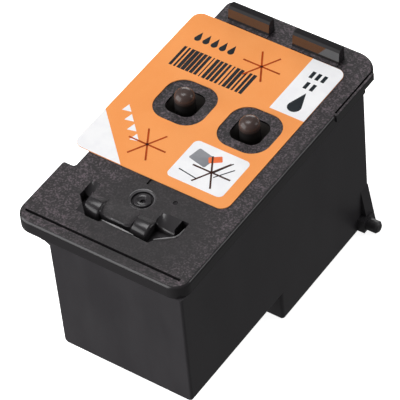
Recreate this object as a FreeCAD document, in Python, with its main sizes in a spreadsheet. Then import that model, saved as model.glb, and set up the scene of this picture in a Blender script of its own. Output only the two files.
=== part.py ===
import FreeCAD, Part
import math
import os
import re
import Sketcher

# Inkjet printhead: a three-chamber moulded tank with a nose, a welded lid that carries the
# carriage catch, two guide posts and a peel label, and a jet assembly under the nose.
# Millimetres. X runs across the width, Y from front to rear, Z up. The origin is the centre
# of the nozzle face at the bottom of the nose, so the lid's top lies at z = lid_top.

SIZES = {
    # Tank outline, measured from the origin
    "nose_width": 25.6,
    "nose_length": 28.6,
    "nose_height": 6.1,
    "nose_corner": 0.6,
    "nose_bevel": 0.25,
    "front_reach": 42.1,
    "front_left_reach": 14.3,
    "rear_left_reach": 17.4,
    "shoulder_reach": 26.0,
    "lid_top": 34.5,
    # Tank walls
    "wall": 1.5,
    "tank_floor": 1.5,
    "wall_draft": 0.3,
    "bottom_round": 0.9,
    "front_round": 0.5,
    "rear_round": 0.3,
    "inside_round": 1.0,
    "partition": 1.4,
    "cross_wall_reach": 5.7,
    "long_wall_reach": 4.3,
    # Outlets and ducts in the nose
    "outlet_width": 5.4,
    "outlet_wall": 0.8,
    "outlet_height": 2.2,
    "side_outlet_reach": 8.2,
    "side_outlet_back": 10.0,
    "rear_outlet_reach": 5.5,
    "filter_thick": 0.2,
    # Jet assembly under the nose
    "flex_recess": 0.35,
    "flex_margin": 0.3,
    "flex_width": 19.6,
    "flex_front_reach": 11.0,
    "flex_rise": 27.0,
    "flex_thick": 0.12,
    "flex_bend": 0.8,
    "window_gap": 1.1,
    "die_width": 7.8,
    "die_length": 12.4,
    "die_thick": 0.65,
    "die_gap": 0.3,
    "plate_thick": 0.06,
    "bond_thick": 0.15,
    "bead_round": 0.3,
    "slot_width": 0.6,
    "slot_length": 9.6,
    "slot_pitch": 2.2,
    "contact_size": 1.7,
    "contact_pitch": 2.6,
    "contact_thick": 0.05,
    "contact_low": 8.0,
    "contact_columns": 6,
    "contact_rows": 6,
    # Datum peg and web on the right of the nose
    "peg_radius": 1.2,
    "peg_length": 2.35,
    "peg_bevel": 0.4,
    "peg_inset": 2.45,
    "peg_rise": 1.55,
    "foot_margin": 0.3,
    "web_rise": 8.9,
    "web_spread": 1.45,
    "web_thick": 2.4,
    # Catch flange bracket on the left of the tank
    "bracket_reach": 3.1,
    "bracket_depth": 1.2,
    # Lid outline
    "lid_edge": 2.7,
    "lid_plate": 1.5,
    "lid_overhang": 0.25,
    "lid_left_reach": 18.9,
    "ear_reach": 21.25,
    "ear_rear_reach": 27.5,
    "lid_rear_reach": 20.3,
    "ear_corner": 3.2,
    "lid_front_corner": 2.9,
    "lid_rear_corner": 4.6,
    "lid_left_corner": 1.6,
    "notch_round": 0.5,
    "lid_top_round": 0.6,
    # Lid slots and small marks
    "slot_cut": 0.5,
    "slot_depth": 0.95,
    "front_slot_setback": 1.7,
    "front_slot_left": 20.0,
    "front_slot_right": 11.5,
    "seam_cut": 0.35,
    "seam_front": 4.7,
    "seam_rear": 16.8,
    "rail_thick": 0.5,
    "gate_x": 4.3,
    "gate_inset": 0.6,
    "gate_radius": 2.2,
    "gate_depth": 0.55,
    "nub_radius": 1.25,
    "nub_hole": 0.45,
    "dimple_x": 1.0,
    "dimple_setback": 2.7,
    # Wells and guide posts
    "post_spacing": 13.4,
    "post_radius": 1.88,
    "post_rise": 1.4,
    "post_dome": 1.5,
    "spigot_radius": 1.2,
    "spigot_length": 0.9,
    "well_width": 6.1,
    "well_corner": 1.9,
    "well_depth": 7.0,
    "well_wall": 1.2,
    "fit_gap": 0.03,
    # Ink inlets
    "inlet_spacing": 13.1,
    "inlet_front_reach": 17.5,
    "inlet_rear_reach": 8.2,
    "inlet_bore": 2.0,
    "seal_radius": 3.0,
    "seal_thick": 2.6,
    "seal_seat": 2.8,
    "boss_wall": 1.1,
    "vent_groove": 0.4,
    "vent_depth": 0.4,
    "vent_step": 1.3,
    "vent_front_reach": 25.0,
    "vent_turn_reach": 22.0,
    # Front catch pocket with its two lugs
    "catch_depth": 2.2,
    "catch_shell": 1.2,
    "catch_left": 14.1,
    "catch_right": 5.65,
    "catch_setback": 6.0,
    "catch_length": 7.2,
    "catch_slope": 3.6,
    "catch_lip_left": 7.8,
    "catch_step": 0.5,
    "lug_left_start": 12.3,
    "lug_right_start": 2.6,
    "lug_width": 3.0,
    "lug_gap": 1.4,
    "lug_round": 2.1,
    "ramp_flat": 2.1,
    "ramp_round": 4.0,
    "ramp_run": 5.0,
    "ramp_drop": 1.1,
    "lip_round": 0.35,
    "wing_run": 2.3,
    "wing_drop": 1.4,
    "wing_width": 3.9,
    "rim_round": 0.25,
    # Rear hooks
    "hook_depth": 2.3,
    "hook_height": 2.9,
    "hook_front": 15.4,
    "hook_lean": 0.35,
    "hook_bevel": 0.4,
    "hook_round": 0.5,
    "hook_left_start": 16.15,
    "hook_left_length": 8.6,
    "hook_right_start": 2.65,
    "hook_right_length": 9.6,
    "plinth_depth": 0.7,
    "plinth_height": 0.25,
    # Ink absorbers
    "foam_gap": 0.4,
    "foam_top": 25.4,
    # Peel label
    "label_thick": 0.16,
    "label_left": 22.1,
    "label_right": 9.3,
    "label_front": 23.64,
    "label_rear": 14.55,
    "label_corner": 1.8,
    "label_hole": 10.2,
    "label_hole_corner": 3.6,
}

document = FreeCAD.newDocument("printhead")
sheet = document.addObject("Spreadsheet::Sheet", "sizes")
for row, (name, value) in enumerate(SIZES.items(), 1):
    sheet.set(f"A{row}", name)
    sheet.set(f"B{row}", str(value))
    sheet.setAlias(f"B{row}", name)
document.recompute()


def size(name):
    """The present value of one driving dimension."""
    return float(getattr(sheet, name))


def linked(expression):
    """The expression with each driving dimension's name pointing at the sheet."""
    return re.sub(r"[a-z][a-z_]+", lambda word: "sizes." + word[0] if word[0] in SIZES else word[0],
                  str(expression))


def bind(thing, path, expression):
    """Ties one property or constraint to the driving dimensions."""
    thing.setExpression(path, linked(expression))


def constrain(sketch, kind, reference, expression, start=1.0):
    """Adds one dimension to a sketch and ties it to the driving dimensions."""
    index = sketch.addConstraint(Sketcher.Constraint(kind, *reference, start))
    name = f"{kind}{index}"
    sketch.renameConstraint(index, name)
    bind(sketch, f"Constraints.{name}", expression)


def polygon(*corners):
    """An outline of straight sides. A corner is x, y and, where it is rounded, a radius."""
    return {"corners": corners}


def circle(x, y, radius):
    """A round outline."""
    return {"centre": (x, y), "radius": radius}


def rectangle(left, right, low, high, radius=None):
    """An outline with four square or rounded corners."""
    corners = [(left, low), (right, low), (right, high), (left, high)]
    return polygon(*[corner + (radius,) if radius else corner for corner in corners])


def draw_circle(sketch, outline):
    """Draws a round outline whose centre and radius follow the sheet."""
    index = sketch.addGeometry(Part.Circle(FreeCAD.Vector(), FreeCAD.Vector(0, 0, 1), 1.0), False)
    constrain(sketch, "DistanceX", (index, 3), outline["centre"][0])
    constrain(sketch, "DistanceY", (index, 3), outline["centre"][1])
    constrain(sketch, "Radius", (index,), outline["radius"])


def draw_polygon(sketch, outline):
    """Draws a closed outline, places each corner by the sheet and rounds what is rounded."""
    corners = outline["corners"]
    count = len(corners)
    first = sketch.GeometryCount
    ring = [FreeCAD.Vector(math.cos(2 * math.pi * turn / count), math.sin(2 * math.pi * turn / count), 0)
            for turn in range(count)]
    for turn in range(count):
        sketch.addGeometry(Part.LineSegment(ring[turn], ring[(turn + 1) % count]), False)
    for turn in range(count):
        following = first + (turn + 1) % count
        sketch.addConstraint(Sketcher.Constraint("Coincident", first + turn, 2, following, 1))
    for turn, corner in enumerate(corners):
        constrain(sketch, "DistanceX", (first + turn, 1), corner[0], ring[turn].x)
        constrain(sketch, "DistanceY", (first + turn, 1), corner[1], ring[turn].y)
    document.recompute()
    for turn, corner in enumerate(corners):
        if len(corner) == 3:
            radius = size(corner[2])
            sketch.fillet(first + turn, 1, radius, True, True)
            arcs = [index for index, curve in enumerate(sketch.Geometry)
                    if isinstance(curve, Part.ArcOfCircle)]
            constrain(sketch, "Radius", (arcs[-1],), corner[2], radius)


class Piece:
    """One piece of the product: a body, its sketches and its features."""

    def __init__(self, label, x=None, y=None, z=None):
        self.body = document.addObject("PartDesign::Body", label)
        self.body.Label = label
        for axis, place in (("x", x), ("y", y), ("z", z)):
            if place:
                bind(self.body, f"Placement.Base.{axis}", place)

    def sketch(self, name, plane, offset, outlines):
        """Draws outlines on one of the body's own planes, moved along its normal."""
        sketch = self.body.newObject("Sketcher::SketchObject", name + "_sketch")
        support = [item for item in self.body.Origin.OriginFeatures if item.Role == plane + "_Plane"]
        sketch.AttachmentSupport = (support[0], "")
        sketch.MapMode = "FlatFace"
        if offset:
            bind(sketch, "AttachmentOffset.Base.z", offset)
        for outline in outlines:
            if "corners" in outline:
                draw_polygon(sketch, outline)
            else:
                draw_circle(sketch, outline)
        return sketch

    def extrude(self, kind, name, plane, offset, outlines, length, reverse=False, both=False):
        """Adds or cuts the outlines over a length."""
        sketch = self.sketch(name, plane, offset, outlines)
        feature = self.body.newObject("PartDesign::" + kind, name)
        feature.Profile = sketch
        feature.Reversed = reverse
        feature.Midplane = both
        bind(feature, "Length", length)
        document.recompute()
        return feature

    def pad(self, name, plane, offset, outlines, length, **options):
        """Adds material over a length."""
        return self.extrude("Pad", name, plane, offset, outlines, length, **options)

    def pocket(self, name, plane, offset, outlines, length, **options):
        """Cuts material over a length."""
        return self.extrude("Pocket", name, plane, offset, outlines, length, **options)

    def ease(self, kind, name, path, amount, chosen):
        """Works on the edges of the present shape that a test picks."""
        base = self.body.Tip
        edges = [f"Edge{index}" for index, edge in enumerate(base.Shape.Edges, 1)
                 if chosen(edge.BoundBox)]
        if not edges:
            raise RuntimeError(f"{self.body.Label}: no edge for {name}")
        feature = self.body.newObject("PartDesign::" + kind, name)
        feature.Base = (base, edges)
        bind(feature, path, amount)
        self.body.Tip = feature
        document.recompute()
        return feature

    def round(self, name, radius, chosen):
        """Rounds the edges that a test picks."""
        return self.ease("Fillet", name, "Radius", radius, chosen)

    def bevel(self, name, width, chosen):
        """Bevels the edges that a test picks."""
        return self.ease("Chamfer", name, "Size", width, chosen)

    def loft_cut(self, name, low_offset, low_outline, high_offset, high_outline):
        """Cuts a tapering duct between two outlines at two heights."""
        low = self.sketch(name + "_low", "XY", low_offset, [low_outline])
        high = self.sketch(name + "_high", "XY", high_offset, [high_outline])
        feature = self.body.newObject("PartDesign::SubtractiveLoft", name)
        feature.Profile = low
        feature.Sections = [high]
        feature.Ruled = True
        document.recompute()
        return feature

    def revolve(self, name, outline):
        """Turns a half profile, drawn in x and z, round the vertical axis."""
        sketch = self.sketch(name, "XZ", None, [outline])
        feature = self.body.newObject("PartDesign::Revolution", name)
        feature.Profile = sketch
        feature.ReferenceAxis = (sketch, ["V_Axis"])
        document.recompute()
        return feature


def near(value, target, slack=0.02):
    """Whether a coordinate lies at a place."""
    return abs(value - target) < slack


def flat_at(box, axis, place, slack=0.02):
    """Whether a box lies in one plane square to an axis."""
    return near(getattr(box, axis + "Min"), place, slack) and near(getattr(box, axis + "Max"), place, slack)


TANK_TOP = "(lid_top - lid_edge)"
PLATE_UNDER = "(lid_top - lid_plate)"
CHAMBER_FLOOR = "(nose_height + tank_floor)"
DIE_SEAT = "(plate_thick + die_thick + bond_thick)"
RIGHT_WALL = "(nose_width / 2)"
REAR_WALL = "(nose_length / 2)"
CATCH_FRONT = "(-front_reach + catch_setback)"
CATCH_REAR = "(-front_reach + catch_setback + catch_length)"
LEFT_POST = "(-long_wall_reach - post_spacing / 2)"
RIGHT_POST = "(-long_wall_reach + post_spacing / 2)"
OUTLETS = {
    "left": ("(-side_outlet_reach)", "(-side_outlet_back)", "(-slot_pitch)"),
    "right": ("(side_outlet_reach - 1.2)", "(-side_outlet_back)", "(slot_pitch)"),
    "rear": ("(0)", "(rear_outlet_reach)", "(0)"),
}
INLETS = {
    "left": ("(-long_wall_reach - inlet_spacing / 2)", "(-inlet_front_reach)"),
    "right": ("(-long_wall_reach + inlet_spacing / 2)", "(-inlet_front_reach)"),
    "rear": ("(-long_wall_reach)", "(inlet_rear_reach)"),
}


def chamber(gap="0"):
    """The L-shaped inner outline of the tank, drawn in by a gap all round."""
    left = f"-(rear_left_reach - wall - {gap})"
    front_left = f"-(front_left_reach - wall - {gap})"
    right = f"{RIGHT_WALL} - wall - {gap}"
    front = f"-(front_reach - wall - {gap})"
    rear = f"{REAR_WALL} - wall - {gap}"
    shoulder = f"-(shoulder_reach - wall - {gap})"
    return polygon((front_left, front, "inside_round"), (right, front, "inside_round"),
                   (right, rear, "inside_round"), (left, rear, "inside_round"),
                   (left, shoulder, "inside_round"), (front_left, shoulder, "inside_round"))


def square(centre, half, radius=None):
    """A square outline about a centre, given half its width."""
    x, y = centre
    return rectangle(f"{x} - ({half})", f"{x} + ({half})", f"{y} - ({half})", f"{y} + ({half})", radius)


def make_tank():
    """The moulded tank: shell, nose, chamber walls, outlets, jet seat, peg, web and bracket."""
    tank = Piece("tank_body")
    tank.pad("side_shape", "YZ", "-rear_left_reach", [polygon(
        ("-front_reach", "nose_height"), ("-nose_length / 2", "nose_height"),
        ("-nose_length / 2", "0"), (REAR_WALL, "0"),
        (REAR_WALL, TANK_TOP), ("-front_reach", TANK_TOP))], "rear_left_reach + nose_width / 2")
    tank.pocket("front_left_step", "XZ", "shoulder_reach", [polygon(
        ("-rear_left_reach - 1", "-1"), ("-front_left_reach + wall_draft", "-1"),
        ("-front_left_reach + wall_draft", "nose_height"), ("-front_left_reach", TANK_TOP),
        ("-front_left_reach", "lid_top"), ("-rear_left_reach - 1", "lid_top"))],
        "front_reach", reverse=True)
    tank.pocket("nose_left_step", "XZ", "nose_length", [rectangle(
        "-rear_left_reach - 1", "-nose_width / 2", "-1", "nose_height")], "2 * nose_length")

    tank.round("side_bottom_rounds", "bottom_round", lambda box: (
        box.YLength > 5 and near(box.ZMin, size("nose_height")) and near(box.ZMax, size("nose_height"))
        and box.XLength < 0.1 and box.YMax < -size("nose_length") / 2 + 0.1))
    tank.round("front_uprights", "front_round", lambda box: (
        box.ZLength > 10 and box.YMax < -size("front_reach") + 0.1))
    tank.round("rear_uprights", "rear_round", lambda box: (
        box.ZLength > 4 and box.XLength < 0.1 and box.YMin > size("nose_length") / 2 - 0.1))
    tank.round("nose_uprights", "nose_corner", lambda box: (
        4 < box.ZLength < 10 and near(box.YMax, -size("nose_length") / 2, 0.1)))
    tank.bevel("nose_bottom_rim", "nose_bevel", lambda box: flat_at(box, "Z", 0))

    tank.pocket("chambers", "XY", TANK_TOP, [chamber()], f"{TANK_TOP} - {CHAMBER_FLOOR}")
    tank.pad("cross_wall", "XY", CHAMBER_FLOOR, [rectangle(
        "-(rear_left_reach - wall)", f"{RIGHT_WALL} - wall",
        "-cross_wall_reach - partition / 2", "-cross_wall_reach + partition / 2")],
        f"{PLATE_UNDER} - {CHAMBER_FLOOR}")
    tank.pad("long_wall", "XY", CHAMBER_FLOOR, [rectangle(
        "-long_wall_reach - partition / 2", "-long_wall_reach + partition / 2",
        "-(front_reach - wall)", "-cross_wall_reach")], f"{PLATE_UNDER} - {CHAMBER_FLOOR}")
    well_reach = "well_width / 2 + well_wall + fit_gap"
    for side, post in (("left", LEFT_POST), ("right", RIGHT_POST)):
        tank.pocket(f"{side}_well_notch", "XY", "lid_top", [rectangle(
            f"{post} - ({well_reach})", f"{post} + ({well_reach})",
            "-cross_wall_reach - partition", "-cross_wall_reach + partition")],
            "well_depth + well_wall + fit_gap")
    tank.pocket("catch_notch", "XY", "lid_top", [rectangle(
        "-long_wall_reach - partition", "-long_wall_reach + partition",
        f"{CATCH_FRONT} - catch_shell - fit_gap", f"{CATCH_REAR} + catch_shell + fit_gap")],
        "catch_depth + catch_shell + fit_gap")

    for side, (x, y, slot) in OUTLETS.items():
        tank.pad(f"{side}_outlet", "XY", CHAMBER_FLOOR, [square((x, y), "outlet_width / 2")],
                 "outlet_height")
        tank.pocket(f"{side}_outlet_bore", "XY", f"{CHAMBER_FLOOR} + outlet_height",
                    [square((x, y), "outlet_width / 2 - outlet_wall")], "outlet_height")
        tank.loft_cut(f"{side}_duct", DIE_SEAT, rectangle(
            f"{slot} - slot_width / 2", f"{slot} + slot_width / 2", "-slot_length / 2", "slot_length / 2"),
            CHAMBER_FLOOR, square((x, y), "outlet_width / 2 - outlet_wall"))

    tank.pocket("flex_seat", "YZ", "-(flex_width / 2 + flex_margin)", [polygon(
        ("-flex_front_reach - flex_margin", "-1"), (f"{REAR_WALL} + 1", "-1"),
        (f"{REAR_WALL} + 1", "flex_rise + flex_margin"),
        (f"{REAR_WALL} - flex_recess", "flex_rise + flex_margin"),
        (f"{REAR_WALL} - flex_recess", "flex_recess", "flex_bend"),
        ("-flex_front_reach - flex_margin", "flex_recess"))],
        "flex_width + 2 * flex_margin", reverse=True)
    tank.pocket("die_seat", "XY", "0", [rectangle(
        "-die_width / 2 - die_gap", "die_width / 2 + die_gap",
        "-die_length / 2 - window_gap", "die_length / 2 + window_gap")], DIE_SEAT, reverse=True)

    tank.pad("web", "XZ", f"-({REAR_WALL})", [polygon(
        (f"{RIGHT_WALL} - wall", "nose_bevel"), (f"{RIGHT_WALL} + web_spread", "nose_bevel"),
        (RIGHT_WALL, "web_rise"), (f"{RIGHT_WALL} - wall", "web_rise"))], "web_thick")
    peg_y, foot_reach = f"{REAR_WALL} - peg_inset", "peg_radius + foot_margin"
    tank.pad("peg_foot", "YZ", f"{RIGHT_WALL} - wall", [rectangle(
        f"{peg_y} - ({foot_reach})", f"{peg_y} + ({foot_reach})", "nose_bevel", f"peg_rise + {foot_reach}")],
        "wall + web_spread")
    tank.pad("datum_peg", "YZ", f"{RIGHT_WALL} + web_spread", [circle(peg_y, "peg_rise", "peg_radius")],
             "peg_length")
    tank.bevel("peg_end", "peg_bevel", lambda box: flat_at(
        box, "X", size("nose_width") / 2 + size("web_spread") + size("peg_length")))
    outer = "-front_left_reach - bracket_reach"
    tank.pad("catch_bracket", "XZ", "shoulder_reach", [polygon(
        ("-front_left_reach + wall / 2", TANK_TOP), (outer, TANK_TOP),
        (f"{outer} + bracket_depth", f"{TANK_TOP} - bracket_depth"),
        ("-front_left_reach - bracket_depth", f"{TANK_TOP} - bracket_depth"),
        ("-front_left_reach + wall / 2", f"{TANK_TOP} - 2 * bracket_depth"))],
        "front_reach - shoulder_reach - front_round")
    return tank


def make_lid():
    """The lid, drawn with its top at zero: rim, wells, inlets, catch pocket, marks and hooks."""
    lid = Piece("top_lid", z="lid_top")
    right = f"{RIGHT_WALL} + lid_overhang"
    front = "-front_reach - lid_overhang"
    lid.pad("plate", "XY", "-lid_edge", [polygon(
        ("-ear_reach", front, "ear_corner"), (right, front, "lid_front_corner"),
        (right, "lid_rear_reach", "lid_rear_corner"), ("-lid_left_reach", "lid_rear_reach", "lid_left_corner"),
        ("-lid_left_reach", "-ear_rear_reach", "notch_round"),
        ("-ear_reach", "-ear_rear_reach", "notch_round"))], "lid_edge")
    lid.round("top_edge", "lid_top_round", lambda box: flat_at(box, "Z", 0))
    lid.pocket("rear_relief", "XY", "-lid_plate", [rectangle(
        "-lid_left_reach - 1", f"{right} + 1", REAR_WALL, "lid_rear_reach + 1")], "lid_edge - lid_plate")
    lid.pocket("underside", "XY", "-lid_plate", [chamber()], "lid_edge - lid_plate")

    inner_left = "-(front_left_reach - wall)"
    catch_front = f"{CATCH_FRONT} - catch_shell"
    catch_rear = f"{CATCH_REAR} + catch_shell"
    lid.pad("catch_floor", "XY", "-lid_plate", [rectangle(
        inner_left, "catch_right + catch_shell", catch_front, catch_rear)],
        "lid_edge - lid_plate", reverse=True)
    lid.pad("catch_box", "XY", "-lid_plate", [rectangle(
        f"{inner_left} + fit_gap", "catch_right + catch_shell", catch_front, catch_rear)],
        "catch_depth + catch_shell - lid_plate", reverse=True)
    for side, post in (("left", LEFT_POST), ("right", RIGHT_POST)):
        centre = (post, "-cross_wall_reach")
        lid.pad(f"{side}_well_box", "XY", "-lid_plate",
                [square(centre, "well_width / 2 + well_wall")],
                "well_depth + well_wall - lid_plate", reverse=True)
        lid.pocket(f"{side}_well", "XY", "0", [square(centre, "well_width / 2", "well_corner")],
                   "well_depth")
        lid.pocket(f"{side}_post_socket", "XY", "-well_depth",
                   [circle(*centre, "spigot_radius + fit_gap")], "spigot_length")
    for side, (x, y) in INLETS.items():
        lid.pad(f"{side}_inlet_boss", "XY", "-lid_plate", [circle(x, y, "seal_radius + boss_wall")],
                "seal_seat + boss_wall - lid_plate", reverse=True)
        lid.pocket(f"{side}_seal_seat", "XY", "0", [circle(x, y, "seal_radius + fit_gap")], "seal_seat")
        lid.pocket(f"{side}_inlet_bore", "XY", "-seal_seat", [circle(x, y, "inlet_bore")],
                   "boss_wall")
    cut_vent(lid)
    cut_catch(lid)
    cut_marks(lid, right)
    for side in ("left", "right"):
        add_hook(lid, side)
    return lid


def cut_vent(lid):
    """The winding air groove that runs from a small hole to beside the gate ring."""
    middle = "-gate_x - vent_step"
    half = "vent_groove / 2"
    legs = [
        (f"{middle} - {half}", f"{middle} + {half}", "-vent_front_reach", "-vent_turn_reach"),
        (f"{middle} - {half}", f"{middle} + 2 * vent_step", "-vent_turn_reach - vent_groove", "-vent_turn_reach"),
        (f"{middle} + 2 * vent_step - vent_groove", f"{middle} + 2 * vent_step",
         "-vent_turn_reach - vent_groove", "-vent_turn_reach + vent_step"),
        (f"{middle} - {half}", f"{middle} + 2 * vent_step", "-vent_turn_reach + vent_step - vent_groove",
         "-vent_turn_reach + vent_step"),
        (f"{middle} - {half}", f"{middle} + {half}", "-vent_turn_reach + vent_step - vent_groove",
         "-vent_turn_reach + 2 * vent_step"),
    ]
    for turn, leg in enumerate(legs, 1):
        lid.pocket(f"vent_groove_{turn}", "XY", "0", [rectangle(*leg)], "vent_depth")
    lid.pocket("vent_hole", "XY", "0", [circle(
        middle, "-vent_turn_reach + 2 * vent_step", "vent_groove")], "lid_plate")


def cut_catch(lid):
    """The catch pocket, with two rolled lugs and the ramps between and beside them."""
    front, rear = CATCH_FRONT, CATCH_REAR
    lid.pocket("catch_pocket", "XY", "0", [polygon(
        ("-catch_left", rear), ("-catch_left", f"{front} + catch_slope"),
        ("-catch_left + catch_slope", front), ("-catch_lip_left", front),
        ("-catch_lip_left + catch_step", f"{front} + catch_step"),
        ("catch_right - catch_slope", f"{front} + catch_step / 2"),
        ("catch_right - catch_slope + catch_step", f"{front} + catch_slope / 3"),
        ("catch_right", f"{front} + catch_slope"), ("catch_right", rear))], "catch_depth")
    front_place = -size("front_reach") + size("catch_setback")
    lid.round("catch_rim", "rim_round", lambda box: (
        flat_at(box, "Z", 0) and box.YMax < front_place + size("catch_slope") + 0.1
        and box.XMin > -size("catch_left") - 0.1 and box.XMax < size("catch_right") + 0.1
        and box.YMin > front_place - 0.1 and box.XLength > 0.3))
    lug_front, ramp_lip, wing_lip = f"{front} + lug_gap", f"{rear} - ramp_run", f"{rear} - wing_run"
    lug = polygon((rear, "-catch_depth"), (lug_front, "-catch_depth"), (lug_front, "0", "lug_round"),
                  (rear, "0"))
    ramp = polygon((rear, "-catch_depth"), (ramp_lip, "-catch_depth"), (ramp_lip, "-ramp_drop", "lip_round"),
                   (f"{rear} - ramp_flat", "0", "ramp_round"), (rear, "0"))
    wing = polygon((rear, "-catch_depth"), (wing_lip, "-catch_depth"), (wing_lip, "-wing_drop", "lip_round"),
                   (rear, "0"))
    pieces = [("left_lug", lug, "-lug_left_start", "lug_width"),
              ("right_lug", lug, "-lug_right_start", "lug_width"),
              ("middle_ramp", ramp, "-lug_left_start + lug_width",
               "lug_left_start - lug_width - lug_right_start"),
              ("left_wing", wing, "-catch_left", "catch_left - lug_left_start"),
              ("right_wing", wing, "-lug_right_start + lug_width", "wing_width")]
    for name, outline, start, length in pieces:
        lid.pad(name, "YZ", start, [outline], length)


def cut_marks(lid, right):
    """The front slot, the rear seam with its thin rail, the gate ring and the dimple."""
    slot_front = "-front_reach + front_slot_setback"
    lid.pocket("front_slot", "XY", "0", [rectangle(
        "-front_slot_left", "front_slot_right", slot_front, f"{slot_front} + slot_cut")], "slot_depth")
    lid.pad("rail", "XY", "-lid_plate", [rectangle(
        f"{right} - seam_cut - rail_thick / 2", f"{right} + rail_thick / 2", "seam_front", "seam_rear")],
        "lid_plate")
    lid.pocket("seam", "XY", "0", [rectangle(
        f"{right} - seam_cut - rail_thick / 4", f"{right} - rail_thick / 4", "seam_front + rail_thick",
        "seam_rear + rail_thick")], "slot_depth")
    gate_y = f"{CATCH_REAR} + gate_inset"
    gate = ("-gate_x", gate_y)
    lid.pocket("gate_face", "XY", "0", [circle(*gate, "gate_radius")], "gate_depth / 3")
    lid.pocket("gate_ring", "XY", "0", [circle(*gate, "gate_radius"), circle(*gate, "nub_radius")],
               "gate_depth")
    lid.pocket("gate_hole", "XY", "0", [circle("-gate_x + nub_hole / 2", f"{gate_y} - nub_hole / 2",
                                               "nub_hole")], "gate_depth")
    lid.pocket("dimple", "XY", "0", [circle("dimple_x", f"{CATCH_REAR} + dimple_setback", "nub_hole")],
               "gate_depth / 3")


def add_hook(lid, side):
    """One rear hook: a block with a leaning, bevelled front face and a thin plinth at its foot."""
    top_front = "hook_front + hook_lean"
    lid.pad(f"{side}_hook", "YZ", f"-hook_{side}_start", [polygon(
        ("hook_front - plinth_depth", "-lid_plate / 2"), ("hook_front + hook_depth", "-lid_plate / 2"),
        ("hook_front + hook_depth", "hook_height"), (f"{top_front} + hook_bevel", "hook_height"),
        (top_front, "hook_height - hook_bevel"), ("hook_front", "plinth_height"),
        ("hook_front - plinth_depth", "plinth_height"))], f"hook_{side}_length")
    start = -size(f"hook_{side}_start")
    end = start + size(f"hook_{side}_length")
    rear = size("hook_front") + size("hook_depth")
    lid.round(f"{side}_hook_rear", "hook_round", lambda box: (
        box.ZMax > 1 and near(box.YMin, rear, 0.1) and near(box.YMax, rear, 0.1)
        and start - 0.1 < box.XMin and box.XMax < end + 0.1))


def make_label():
    """The film label, with two openings for the guide posts."""
    label = Piece("peel_label", z="lid_top")
    holes = [square((post, "-cross_wall_reach"), "label_hole / 2", "label_hole_corner")
             for post in (LEFT_POST, RIGHT_POST)]
    label.pad("film", "XY", "0", [rectangle(
        "-label_left", "label_right", "-label_front", "label_rear", "label_corner"), *holes], "label_thick")
    return label


def make_post(label, x):
    """A domed guide post with a spigot that seats in the floor of its well."""
    post = Piece(label, x, "-cross_wall_reach", "lid_top")
    top = "post_rise + post_dome"
    post.revolve("turned_shape", polygon(
        ("0", "-well_depth - spigot_length"), ("spigot_radius", "-well_depth - spigot_length"),
        ("spigot_radius", "-well_depth"), ("post_radius", "-well_depth"),
        ("post_radius", top, "post_dome"), ("0", top)))
    return post


def make_seal(side):
    """A rubber plug that closes an ink inlet, just below the lid's face."""
    x, y = INLETS[side]
    seal = Piece(f"inlet_seal_{side}", x, y, "lid_top - seal_seat")
    seal.revolve("turned_shape", polygon(
        ("0", "0"), ("seal_radius", "0"), ("seal_radius", "seal_thick"), ("0", "seal_thick")))
    return seal


def make_foam(side):
    """An ink absorber that stands on its outlet filter and fills its chamber."""
    foam = Piece(f"ink_foam_{side}", z=f"{CHAMBER_FLOOR} + outlet_height + filter_thick")
    left = "-(rear_left_reach - wall - foam_gap)"
    front_left = "-(front_left_reach - wall - foam_gap)"
    right = f"{RIGHT_WALL} - wall - foam_gap"
    front = "-(front_reach - wall - foam_gap)"
    before_wall = "-cross_wall_reach - partition / 2 - foam_gap"
    shoulder = "-(shoulder_reach - wall - foam_gap)"
    outlines = {
        "left": polygon((front_left, front), ("-long_wall_reach - partition / 2 - foam_gap", front),
                        ("-long_wall_reach - partition / 2 - foam_gap", before_wall),
                        (left, before_wall), (left, shoulder), (front_left, shoulder)),
        "right": rectangle("-long_wall_reach + partition / 2 + foam_gap", right, front, before_wall),
        "rear": rectangle(left, right, "-cross_wall_reach + partition / 2 + foam_gap",
                          f"{REAR_WALL} - wall - foam_gap"),
    }
    foam.pad("block", "XY", "0", [outlines[side]],
             f"foam_top - {CHAMBER_FLOOR} - outlet_height - filter_thick")
    return foam


def make_filter(side):
    """A woven steel filter sheet staked on an outlet."""
    x, y, slot = OUTLETS[side]
    mesh = Piece(f"outlet_filter_{side}", x, y, f"{CHAMBER_FLOOR} + outlet_height")
    mesh.pad("sheet", "XY", "0", [square(("0", "0"), "outlet_width / 2")], "filter_thick")
    return mesh


def make_stack_layer(label, low, thick, slotted):
    """One layer of the jet stack, with the three feed slots where it has them."""
    layer = Piece(label, z=low)
    outlines = [rectangle("-die_width / 2", "die_width / 2", "-die_length / 2", "die_length / 2")]
    if slotted:
        outlines += [rectangle(f"{slot} - slot_width / 2", f"{slot} + slot_width / 2",
                               "-slot_length / 2", "slot_length / 2")
                     for slot in ("-slot_pitch", "0", "slot_pitch")]
    layer.pad("layer", "XY", "0", outlines, thick)
    return layer


def make_flex():
    """The thin circuit strip that lies round the die and bends up the rear wall."""
    flex = Piece("flex_circuit")
    outer = f"{REAR_WALL} - flex_recess + flex_thick"
    inner = f"{REAR_WALL} - flex_recess"
    flex.pad("strip", "YZ", "-flex_width / 2", [polygon(
        ("-flex_front_reach", "flex_recess - flex_thick"), (outer, "flex_recess - flex_thick", "flex_bend"),
        (outer, "flex_rise"), (inner, "flex_rise"), (inner, "flex_recess", "flex_bend"),
        ("-flex_front_reach", "flex_recess"))], "flex_width")
    flex.pocket("window", "XY", "2 * flex_recess", [rectangle(
        "-die_width / 2 - window_gap", "die_width / 2 + window_gap",
        "-die_length / 2 - window_gap", "die_length / 2 + window_gap")], "2 * flex_recess")
    return flex


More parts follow.
